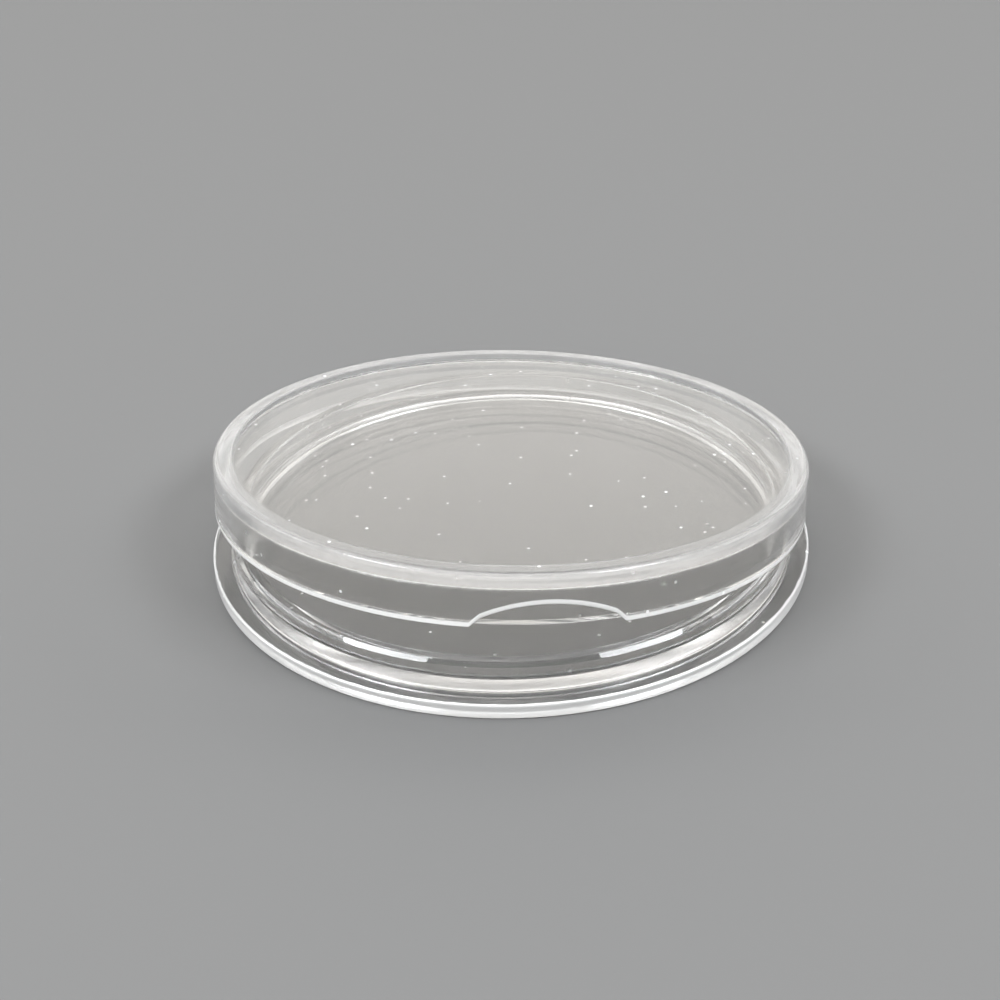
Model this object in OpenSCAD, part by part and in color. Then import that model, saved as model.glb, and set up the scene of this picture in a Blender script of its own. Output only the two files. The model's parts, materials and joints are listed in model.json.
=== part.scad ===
// Round two-piece coin capsule: a clear base with a raised collar that seats the coin,
// and a clear lid whose skirt closes over the collar. The lid is held ajar.
// Millimetres, +Z up, origin at the centre of the plane the base stands on.

/* [Coin seat] */
// Inner diameter of the collar that seats the coin
seat_d = 40.6; // [24:0.2:60]
// Height of the collar above the flange
collar_h = 2.3; // [1.6:0.05:6]
// Thickness of the collar wall
collar_wall = 1.1; // [1:0.1:2.5]

/* [Walls] */
// Thickness of the lid's skirt
skirt_wall = 1.1; // [1.1:0.05:2]
// Thickness of the clear window in the lid and in the base
window_t = 1.05; // [0.6:0.05:1.4]
// How far each window lies inside the rim around it
recess = 0.4; // [0.2:0.05:0.5]
// Height of the flange around the base
flange_h = 1.15; // [1:0.05:2.5]
// How far the flange stands out beyond the closed lid
overhang = 0.4; // [0.2:0.05:0.8]
// Width of the raised rim around each window
rim_w = 1.5; // [1.2:0.1:2]

/* [Closing fit] */
// Radial gap between the collar and the skirt
skirt_gap = 0.1; // [0.05:0.01:0.2]
// Gap between the collar and the lid's window when closed
top_gap = 0.4; // [0.05:0.05:0.6]
// Gap between the skirt and the flange when closed
seam_gap = 0.03; // [0.02:0.01:0.1]
// Angle the lid stands open, turned about the back of the seam
ajar_angle = 7.4; // [0:0.2:12]

/* [Thumb notch] */
// Width of the notch along the skirt's lower edge
notch_w = 10.8; // [6:0.2:14]
// Height of the notch at its middle
notch_h = 1.8; // [0.8:0.05:1.8]
// How deep the notch goes into the skirt's wall
notch_depth = 0.75; // [0.5:0.05:0.8]
// Angle from the front of the capsule to the notch
notch_angle = 22; // [-60:1:60]

/* [Edges] */
// Radius of the lid's outer top edge
rim_round = 0.45; // [0.2:0.05:0.6]
// Radius of the small outer edges
edge_round = 0.18; // [0.1:0.02:0.25]
// Width of the chamfer around the collar's outer top edge
collar_chamfer = 0.3; // [0.1:0.05:0.5]
// Radius of the fillet around the floor of the coin seat
seat_fillet = 0.8; // [0.2:0.05:0.9]
// Radius of the fillets in the other inner corners
fillet = 0.2; // [0.1:0.05:0.25]

/* [Hidden] */
$fn = 180;
arc_steps = 6;
clear = 1;
seat_r = seat_d / 2;
collar_r = seat_r + collar_wall;
skirt_r = collar_r + skirt_gap;
lid_r = skirt_r + skirt_wall;
outer_r = lid_r + overhang;
rim_inner_r = outer_r - rim_w;
lid_rim_inner_r = lid_r - rim_w;
floor_z = recess + window_t;
collar_top = flange_h + collar_h;
seam_z = flange_h + seam_gap;
seat_round = min(seat_fillet, (collar_top - floor_z) / 2);
skirt_depth = collar_h + top_gap - seam_gap;
lid_h = skirt_depth + window_t + recess;
skirt_chamfer = fillet + 0.05;
notch_ramp = notch_h * 0.38;
crown_half = notch_w / 2 - notch_ramp;
crown_rise = notch_h - notch_ramp;
crown_r = (crown_half * crown_half + crown_rise * crown_rise) / (2 * crown_rise);
plastic = [0.86, 0.87, 0.85, 0.45];

// Points along an arc about [x, z], from angle a0 to angle a1.
function arc(x, z, radius, a0, a1) =
    [for (i = [0 : arc_steps]) let (a = a0 + (a1 - a0) * i / arc_steps)
        [x + radius * cos(a), z + radius * sin(a)]];

// Half section of the base: window, foot, flange and collar.
base_section = concat(
    [[0, recess]],
    arc(rim_inner_r - fillet, recess - fillet, fillet, 90, 0),
    [[rim_inner_r, 0]],
    arc(outer_r - edge_round, edge_round, edge_round, -90, 0),
    arc(outer_r - edge_round, flange_h - edge_round, edge_round, 0, 90),
    arc(collar_r + fillet, flange_h + fillet, fillet, 270, 180),
    [[collar_r, collar_top - collar_chamfer]],
    [[collar_r - collar_chamfer, collar_top]],
    arc(seat_r + edge_round, collar_top - edge_round, edge_round, 90, 180),
    arc(seat_r - seat_round, floor_z + seat_round, seat_round, 0, -90),
    [[0, floor_z]]
);

// Half section of the lid, with its skirt's lower edge at height 0.
lid_section = concat(
    [[0, skirt_depth]],
    arc(skirt_r - fillet, skirt_depth - fillet, fillet, 90, 0),
    [[skirt_r, skirt_chamfer]],
    [[skirt_r + skirt_chamfer, 0]],
    arc(lid_r - edge_round, edge_round, edge_round, -90, 0),
    arc(lid_r - rim_round, lid_h - rim_round, rim_round, 0, 90),
    arc(lid_rim_inner_r + edge_round, lid_h - edge_round, edge_round, 90, 180),
    [[lid_rim_inner_r, lid_h - recess]],
    [[0, lid_h - recess]]
);

// Outline of the thumb notch, seen from outside: two short ramps under a shallow crown.
module notch_outline() {
    intersection() {
        polygon([
            [-notch_w / 2 - clear, -clear],
            [notch_w / 2 + clear, -clear],
            [notch_w / 2, 0],
            [crown_half, notch_ramp],
            [crown_half, notch_h + clear],
            [-crown_half, notch_h + clear],
            [-crown_half, notch_ramp],
            [-notch_w / 2, 0]
        ]);
        translate([0, notch_h - crown_r]) circle(r = crown_r);
    }
}

// The notch as a cutter: it stops at the inner lip that stays on the skirt.
module notch_cutter() {
    difference() {
        rotate([0, 0, notch_angle])
            translate([0, -lid_r + notch_depth * 2, 0])
                rotate([90, 0, 0])
                    linear_extrude(notch_depth * 2 + clear) notch_outline();
        translate([0, 0, -2 * clear])
            cylinder(r = lid_r - notch_depth, h = lid_h + 4 * clear);
    }
}

// Base: flange and foot outside, collar around the coin seat, window in the floor.
module base() {
    color(plastic) rotate_extrude() polygon(base_section);
}

// Lid as it closes, with its lower edge at height 0.
module closed_lid() {
    difference() {
        rotate_extrude() polygon(lid_section);
        notch_cutter();
    }
}

// Lid where it stands: turned up about the back of the seam.
module lid() {
    color(plastic)
        translate([0, lid_r, seam_z])
            rotate([-ajar_angle, 0, 0])
                translate([0, -lid_r, 0]) closed_lid();
}

base();
lid();
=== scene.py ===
import json
import math

import bmesh
import bpy
from mathutils import Matrix, Vector


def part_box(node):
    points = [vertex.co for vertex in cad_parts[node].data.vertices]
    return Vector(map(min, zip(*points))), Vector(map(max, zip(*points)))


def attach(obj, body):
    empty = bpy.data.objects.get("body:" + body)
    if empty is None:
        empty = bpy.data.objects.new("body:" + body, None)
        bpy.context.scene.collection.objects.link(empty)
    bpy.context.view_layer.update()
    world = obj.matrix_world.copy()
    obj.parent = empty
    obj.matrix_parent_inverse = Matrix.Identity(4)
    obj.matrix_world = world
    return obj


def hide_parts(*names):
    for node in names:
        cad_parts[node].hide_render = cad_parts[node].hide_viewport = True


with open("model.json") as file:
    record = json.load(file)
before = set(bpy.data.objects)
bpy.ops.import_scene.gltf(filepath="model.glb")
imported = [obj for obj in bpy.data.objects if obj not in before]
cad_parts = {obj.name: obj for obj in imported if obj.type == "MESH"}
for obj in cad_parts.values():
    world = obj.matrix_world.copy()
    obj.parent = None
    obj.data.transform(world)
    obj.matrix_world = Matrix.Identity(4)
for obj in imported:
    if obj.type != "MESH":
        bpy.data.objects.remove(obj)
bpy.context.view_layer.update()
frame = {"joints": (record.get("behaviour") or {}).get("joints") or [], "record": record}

MM = 0.001


# ---------- Sizes ----------

def mount(name):
    """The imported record's mount of that name."""
    return next(m for m in frame["record"]["mounts"] if m["name"] == name)


base_low, base_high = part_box("base")
tilt = frame["joints"][0]

OUTER_R = base_high.x
COLLAR_TOP = base_high.z
SEAT_R = mount("coin_seat")["dims"]["r_mm"] * MM
LID_R = tilt["pos_m"][1]
SEAM_Z = tilt["pos_m"][2]
AJAR = -math.radians(tilt["range_deg"][0])

WINDOW = 1.05 * MM
RECESS = 0.4 * MM
RIM_W = 1.5 * MM
SEAM_GAP = 0.03 * MM
TOP_GAP = 0.4 * MM
COLLAR_WALL = 1.1 * MM
SKIRT_GAP = 0.1 * MM
COLLAR_CHAMFER = 0.3 * MM
RIM_ROUND = 0.45 * MM
EDGE_ROUND = 0.18 * MM
FILLET = 0.2 * MM
SEAT_FILLET = 0.8 * MM
CRISP = 0.05 * MM
# Keeps the lid's mesh inside the CAD box.
HAIR = 0.001 * MM
# Height of the frosted band along the skirt's lower edge; its milky white frosting is partly wear
# and partly a painted highlight.
FROST_AND_HIGHLIGHT_BAND = 0.4 * MM
# How far the matt part of the collar's wall rises above the floor of the seat.
MATT_RISE = 0.4 * MM

FLANGE_H = SEAM_Z - SEAM_GAP
COLLAR_R = SEAT_R + COLLAR_WALL
SKIRT_R = COLLAR_R + SKIRT_GAP
RIM_R = OUTER_R - RIM_W
LID_RIM_R = LID_R - RIM_W
FLOOR_Z = RECESS + WINDOW
SKIRT_DEPTH = COLLAR_TOP - FLANGE_H + TOP_GAP - SEAM_GAP
LID_H = SKIRT_DEPTH + WINDOW + RECESS - HAIR
SKIRT_CHAMFER = FILLET + 0.05 * MM

NOTCH_W = 10.8 * MM
NOTCH_H = 1.8 * MM
NOTCH_RAMP = NOTCH_H * 0.38
NOTCH_DEPTH = 0.75 * MM
NOTCH_ANGLE = math.radians(22)
LIP_R = LID_R - NOTCH_DEPTH

TURN_STEPS = 360
NOTCH_STEPS = 240


# ---------- Lathe ----------

def rounded(corners, steps=6, hold=0.04 * MM):
    """Points of an open outline with each (r, z, radius) corner rounded, and a point beside each
    arc that keeps the shading of the flat next to it flat."""
    points = []
    for i, (r, z, radius) in enumerate(corners):
        here = Vector((r, z))
        if i == 0 or i == len(corners) - 1:
            points.append(here)
            continue
        before = Vector(corners[i - 1][:2]) - here
        after = Vector(corners[i + 1][:2]) - here
        if radius <= 0 or before.length < 1e-9 or after.length < 1e-9:
            points += [here] * (steps + 3)
            continue
        angle = before.angle(after)
        cut = min(radius / math.tan(angle / 2), before.length * 0.48, after.length * 0.48)
        radius = cut * math.tan(angle / 2)
        middle = here + (before.normalized() + after.normalized()).normalized() * (
            radius / math.sin(angle / 2))
        first = here + before.normalized() * cut
        last = here + after.normalized() * cut
        points.append(first + before.normalized() * min(hold, (before.length - cut) * 0.3))
        start = first - middle
        sweep = start.angle_signed(last - middle)
        for k in range(steps + 1):
            turn = -sweep * k / steps
            points.append(middle + Vector((
                start.x * math.cos(turn) - start.y * math.sin(turn),
                start.x * math.sin(turn) + start.y * math.cos(turn))))
        points.append(last + after.normalized() * min(hold, (after.length - cut) * 0.3))
    return points


def disc_rings(radius, z, outwards):
    """Corners that divide a flat disc into rings."""
    rings = [(radius * share, z, 0) for share in (0.25, 0.5, 0.75, 0.92)]
    return rings if outwards else rings[::-1]


def lathe(name, section_at, angles):
    """A closed solid of revolution. section_at(angle) gives the half outline, axis to axis."""
    mesh = bmesh.new()
    rings = []
    for angle in angles:
        outline = section_at(angle)
        rings.append([
            mesh.verts.new((p.x * math.sin(angle), -p.x * math.cos(angle), p.y))
            for p in outline])
    for i, ring in enumerate(rings):
        following = rings[(i + 1) % len(rings)]
        for k in range(len(ring) - 1):
            mesh.faces.new((ring[k], following[k], following[k + 1], ring[k + 1]))
    bmesh.ops.remove_doubles(mesh, verts=mesh.verts, dist=1e-7)
    bmesh.ops.dissolve_degenerate(mesh, edges=mesh.edges, dist=1e-8)
    bmesh.ops.recalc_face_normals(mesh, faces=mesh.faces)
    data = bpy.data.meshes.new(name)
    mesh.to_mesh(data)
    mesh.free()
    data.shade_smooth()
    piece = bpy.data.objects.new(name, data)
    bpy.context.scene.collection.objects.link(piece)
    return piece


# ---------- Pieces ----------

def base_section(angle):
    corners = [(0, RECESS, 0)]
    corners += disc_rings(RIM_R, RECESS, outwards=True)
    corners += [
        (RIM_R, RECESS, FILLET),
        (RIM_R, 0, CRISP * 2),
        (OUTER_R, 0, EDGE_ROUND),
        (OUTER_R, FLANGE_H, EDGE_ROUND),
        (COLLAR_R, FLANGE_H, FILLET),
        (COLLAR_R, COLLAR_TOP - COLLAR_CHAMFER, CRISP),
        (COLLAR_R - COLLAR_CHAMFER, COLLAR_TOP, CRISP),
        (SEAT_R, COLLAR_TOP, EDGE_ROUND),
        (SEAT_R, FLOOR_Z, SEAT_FILLET),
    ]
    corners += disc_rings(SEAT_R, FLOOR_Z, outwards=False)
    corners.append((0, FLOOR_Z, 0))
    return rounded(corners)


def notch_height(angle):
    """How high the skirt's outer wall is cut away at an angle: two ramps under a shallow crown."""
    across = abs(LID_R * math.sin(angle - NOTCH_ANGLE))
    if math.cos(angle - NOTCH_ANGLE) < 0 or across > NOTCH_W / 2:
        return 0
    half = NOTCH_W / 2 - NOTCH_RAMP
    rise = NOTCH_H - NOTCH_RAMP
    crown = (half ** 2 + rise ** 2) / (2 * rise)
    return min(NOTCH_W / 2 - across, NOTCH_H - crown + math.sqrt(crown ** 2 - across ** 2))


def lid_section(angle):
    notch = notch_height(angle)
    step = min(CRISP * 2, notch / 2)
    corners = [(0, SKIRT_DEPTH, 0)]
    corners += disc_rings(SKIRT_R, SKIRT_DEPTH, outwards=True)
    corners += [
        (SKIRT_R, SKIRT_DEPTH, FILLET),
        (SKIRT_R, SKIRT_CHAMFER, CRISP),
        (SKIRT_R + SKIRT_CHAMFER, 0, CRISP / 2),
        (LIP_R, 0, step),
        (LIP_R, notch, step),
        (LID_R, notch, EDGE_ROUND),
        (LID_R, notch + FROST_AND_HIGHLIGHT_BAND, 0),
        (LID_R, notch + FROST_AND_HIGHLIGHT_BAND + CRISP, 0),
        (LID_R, LID_H, RIM_ROUND),
        (LID_RIM_R, LID_H, EDGE_ROUND),
        (LID_RIM_R, LID_H - RECESS, CRISP),
    ]
    corners += disc_rings(LID_RIM_R, LID_H - RECESS, outwards=False)
    corners.append((0, LID_H - RECESS, 0))
    return rounded(corners)


def even_angles():
    return [2 * math.pi * i / TURN_STEPS for i in range(TURN_STEPS)]


def lid_angles():
    """Even angles, and finer ones across the notch."""
    margin = math.radians(1)
    apart = math.radians(0.3)
    reach = math.asin(NOTCH_W / 2 / LID_R) + margin
    start = NOTCH_ANGLE - reach
    fine = [start + 2 * reach * i / NOTCH_STEPS for i in range(NOTCH_STEPS + 1)]
    coarse = [a for a in even_angles() if abs(a - NOTCH_ANGLE) > reach + apart]
    return sorted(fine + coarse)


def mark(piece, name, rule):
    """Store a number at each point, from a rule on its radius, height and angle."""
    layer = piece.data.attributes.new(name, "FLOAT", "POINT")
    for vertex in piece.data.vertices:
        x, y, z = vertex.co
        layer.data[vertex.index].value = rule(math.hypot(x, y), z, math.atan2(x, -y))


# How frosted each edge is: 0 is clear and 1 is the most. The milky white of the frosting is partly
# wear and partly a painted highlight along the edges.
SKIRT_FROST_AND_HIGHLIGHT = 1.0
FLANGE_FROST_AND_HIGHLIGHT = 0.7
RIM_FROST_AND_HIGHLIGHT = 0.1


def base_matt(r, z, angle):
    return 1.0 if r > COLLAR_R - CRISP and CRISP < z < FLOOR_Z + MATT_RISE else 0.0


# Frosts the flange's outer edge: partly wear, partly a painted highlight on that edge.
def base_scuffed_and_highlight(r, z, angle):
    return FLANGE_FROST_AND_HIGHLIGHT if r > OUTER_R - EDGE_ROUND else 0.0


def lid_matt(r, z, angle):
    return 1.0 if r > LID_RIM_R - CRISP and z > SKIRT_DEPTH else 0.0


# Frosts the skirt's lower edge and notch, and a little of the rim: partly wear, partly a painted
# highlight on those edges.
def lid_scuffed_and_highlight(r, z, angle):
    if r > LIP_R + CRISP and z < notch_height(angle) + FROST_AND_HIGHLIGHT_BAND + CRISP / 2:
        return SKIRT_FROST_AND_HIGHLIGHT
    return RIM_FROST_AND_HIGHLIGHT if r > LID_RIM_R - CRISP and z > LID_H - RIM_ROUND else 0.0


def make_base():
    piece = lathe("clear_base", base_section, even_angles())
    mark(piece, "matt", base_matt)
    mark(piece, "scuffed_and_highlight", base_scuffed_and_highlight)
    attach(piece, "base")
    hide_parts("base")
    return piece


def make_lid():
    piece = lathe("clear_lid", lid_section, lid_angles())
    mark(piece, "matt", lid_matt)
    mark(piece, "scuffed_and_highlight", lid_scuffed_and_highlight)
    pivot = Vector(tilt["pos_m"])
    closed = Matrix.Translation((0, 0, SEAM_Z))
    opened = (Matrix.Translation(pivot) @ Matrix.Rotation(AJAR, 4, Vector(tilt["axis"]))
              @ Matrix.Translation(-pivot) @ closed)
    piece.data.transform(opened)
    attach(piece, "lid")
    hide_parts("lid")
    return piece


# ---------- Materials ----------

PLASTIC_IOR = 1.5
SMEAR_SCALE = 160
SMEAR_ROUGHNESS = 0.05
MATT_ROUGHNESS = 0.2
DUST_SCALE = 430
DUST_INNER = 0.048
DUST_OUTER = 0.066
DUST_ROUGHNESS = 0.5
# Transmission at fully frosted edges; the milky white left there is partly a painted highlight.
FROST_AND_HIGHLIGHT_TRANSMISSION = 0.25
WAVE_SCALE = 90
WAVE_HEIGHT = 0.1 * MM
WAVE_STRENGTH = 0.15
CLEAN_TINT = (0.99, 0.988, 0.982, 1)
SMEARED_TINT = (0.975, 0.972, 0.962, 1)
# Sockets of a colour Mix node: its factor, two colours and result.
MIX_FACTOR, MIX_A, MIX_B, MIX_RESULT = 0, 6, 7, 2


def map_range(nodes, links, value, low, high, at_low, at_high):
    """A value mapped from the range low..high to at_low..at_high."""
    node = nodes.new("ShaderNodeMapRange")
    node.inputs["From Min"].default_value = low
    node.inputs["From Max"].default_value = high
    node.inputs["To Min"].default_value = at_low
    node.inputs["To Max"].default_value = at_high
    links.new(value, node.inputs["Value"])
    return node.outputs["Result"]


def clear_plastic(name):
    """Clear moulded plastic: matt edges, frosted edges whose milky white is partly wear and partly
    a painted highlight, smears, slight waves and specks of dust.
    """
    material = bpy.data.materials.new(name)
    material.use_nodes = True
    nodes, links = material.node_tree.nodes, material.node_tree.links
    shader = nodes["Principled BSDF"]
    shader.inputs["IOR"].default_value = PLASTIC_IOR

    place = nodes.new("ShaderNodeTexCoord")

    smears = nodes.new("ShaderNodeTexNoise")
    smears.inputs["Scale"].default_value = SMEAR_SCALE
    smears.inputs["Detail"].default_value = 6
    links.new(place.outputs["Object"], smears.inputs["Vector"])
    smeared = map_range(nodes, links, smears.outputs["Fac"], 0.4, 0.75, 0.0, SMEAR_ROUGHNESS)

    matt = nodes.new("ShaderNodeAttribute")
    matt.attribute_name = "matt"
    scuffed_and_highlight = nodes.new("ShaderNodeAttribute")
    scuffed_and_highlight.attribute_name = "scuffed_and_highlight"
    matted = nodes.new("ShaderNodeMath")
    matted.operation = "MULTIPLY_ADD"
    matted.inputs[1].default_value = MATT_ROUGHNESS
    edges = nodes.new("ShaderNodeMath")
    edges.operation = "MAXIMUM"
    links.new(matt.outputs["Fac"], edges.inputs[0])
    links.new(scuffed_and_highlight.outputs["Fac"], edges.inputs[1])
    links.new(edges.outputs[0], matted.inputs[0])
    links.new(smeared, matted.inputs[2])

    cells = nodes.new("ShaderNodeTexVoronoi")
    cells.inputs["Scale"].default_value = DUST_SCALE
    links.new(place.outputs["Object"], cells.inputs["Vector"])
    distance = cells.outputs["Distance"]
    dust = map_range(nodes, links, distance, DUST_INNER, DUST_OUTER, 1.0, 0.0)

    rough = nodes.new("ShaderNodeMath")
    rough.operation = "MULTIPLY_ADD"
    rough.inputs[1].default_value = DUST_ROUGHNESS
    links.new(dust, rough.inputs[0])
    links.new(matted.outputs[0], rough.inputs[2])
    links.new(rough.outputs[0], shader.inputs["Roughness"])

    # Frosted edges and dust make the plastic milky white; along the edges this white is partly a
    # painted highlight.
    milky = nodes.new("ShaderNodeMath")
    milky.operation = "ADD"
    links.new(scuffed_and_highlight.outputs["Fac"], milky.inputs[0])
    links.new(dust, milky.inputs[1])
    clear = map_range(nodes, links, milky.outputs[0], 0.0, 1.0, 1.0, FROST_AND_HIGHLIGHT_TRANSMISSION)
    links.new(clear, shader.inputs["Transmission Weight"])

    tint = nodes.new("ShaderNodeMix")
    tint.data_type = "RGBA"
    tint.inputs[MIX_A].default_value = CLEAN_TINT
    tint.inputs[MIX_B].default_value = SMEARED_TINT
    links.new(smears.outputs["Fac"], tint.inputs[MIX_FACTOR])
    links.new(tint.outputs[MIX_RESULT], shader.inputs["Base Color"])

    waves = nodes.new("ShaderNodeTexNoise")
    waves.inputs["Scale"].default_value = WAVE_SCALE
    waves.inputs["Detail"].default_value = 2
    links.new(place.outputs["Object"], waves.inputs["Vector"])
    bump = nodes.new("ShaderNodeBump")
    bump.inputs["Strength"].default_value = WAVE_STRENGTH
    bump.inputs["Distance"].default_value = WAVE_HEIGHT
    links.new(waves.outputs["Fac"], bump.inputs["Height"])
    links.new(bump.outputs["Normal"], shader.inputs["Normal"])
    return material


FLOOR_COLOUR = (0.155, 0.155, 0.153, 1)
FLOOR_SIZE = 3
# The floor lies just under the foot, so that the two faces don't coincide.
FLOOR_DROP = 0.02 * MM


def pale_floor_material():
    material = bpy.data.materials.new("pale_floor")
    material.use_nodes = True
    shader = material.node_tree.nodes["Principled BSDF"]
    shader.inputs["Base Color"].default_value = FLOOR_COLOUR
    shader.inputs["Roughness"].default_value = 0.8
    return material


# ---------- Scene ----------

def make_floor():
    bpy.ops.mesh.primitive_plane_add(size=FLOOR_SIZE, location=(0, 0, -FLOOR_DROP))
    floor = bpy.context.object
    floor.name = "floor"
    floor.data.materials.append(pale_floor_material())


def soft_box(name, azimuth, elevation, distance, width, height, power, colour=(1, 1, 1)):
    """A rectangular lamp that faces the capsule. Azimuth 0 is the front, 90 the +X side."""
    a, e = math.radians(azimuth), math.radians(elevation)
    towards = Vector((math.sin(a) * math.cos(e), -math.cos(a) * math.cos(e), math.sin(e)))
    lamp = bpy.data.lights.new(name, "AREA")
    lamp.shape = "RECTANGLE"
    lamp.size, lamp.size_y = width, height
    lamp.energy = power
    lamp.color = colour
    holder = bpy.data.objects.new(name, lamp)
    holder.location = towards * distance
    holder.rotation_euler = towards.to_track_quat("Z", "Y").to_euler()
    bpy.context.scene.collection.objects.link(holder)


# Where the camera stands, in degrees, and the point it looks at.
VIEW_AZIMUTH = 16
VIEW_ELEVATION = 31.8
VIEW_DISTANCE = 7 * OUTER_R
VIEW_ROLL = -1.5
FOCAL = 74.2
AIM_UP = 3.87 * MM
AIM_LEFT = 0.74 * MM


def make_camera():
    a, e = math.radians(VIEW_AZIMUTH), math.radians(VIEW_ELEVATION)
    back = Vector((math.sin(a) * math.cos(e), -math.cos(a) * math.cos(e), math.sin(e)))
    place = back * VIEW_DISTANCE
    right = Vector((math.cos(a), math.sin(a), 0))
    aim = Vector((0, 0, AIM_UP)) - right * AIM_LEFT
    turn = (place - aim).to_track_quat("Z", "Y").to_matrix()
    roll = Matrix.Rotation(math.radians(VIEW_ROLL), 3, "Z")
    lens = bpy.data.cameras.new("camera")
    lens.lens = FOCAL
    lens.sensor_width = 36
    lens.clip_start = 0.001
    camera = bpy.data.objects.new("camera", lens)
    camera.matrix_world = Matrix.Translation(place) @ (turn @ roll).to_4x4()
    bpy.context.scene.collection.objects.link(camera)
    bpy.context.scene.camera = camera


DAYLIGHT = (0.92, 0.96, 1, 1)
WARM = (1, 0.955, 0.90)
MILD = (1, 0.97, 0.93)
COOL = (0.95, 0.97, 1)


def light_room():
    world = bpy.data.worlds.new("studio")
    world.use_nodes = True
    world.node_tree.nodes["Background"].inputs["Color"].default_value = DAYLIGHT
    world.node_tree.nodes["Background"].inputs["Strength"].default_value = 0.3
    bpy.context.scene.world = world
    bpy.context.scene.view_settings.view_transform = "Standard"
    facing = VIEW_AZIMUTH
    soft_box("top_panel", facing + 180, 76, 1.0, 1.2, 1.2, 6.8)
    soft_box("back_panel", facing + 180, 30, 1.2, 2.2, 1.37, 9.2, WARM)
    soft_box("left_box", facing - 61, 48, 0.7, 0.33, 0.2, 3.0, COOL)
    soft_box("right_box", facing + 61, 48, 0.7, 0.33, 0.2, 3.0, COOL)
    soft_box("left_panel", facing - 105, 28, 1.0, 0.5, 0.4, 1.7)
    soft_box("right_panel", facing + 105, 28, 1.0, 0.5, 0.4, 1.7)
    soft_box("front_panel", facing - 10, 24, 1.0, 1.0, 0.5, 2.6, MILD)


def let_light_through():
    """Light bounces many times along the clear windows before it leaves at an edge."""
    cycles = bpy.context.scene.cycles
    cycles.max_bounces = 64
    cycles.transmission_bounces = 64
    cycles.glossy_bounces = 32


make_camera()
light_room()
let_light_through()
make_floor()
for piece in (make_base(), make_lid()):
    piece.data.materials.append(clear_plastic(piece.name))
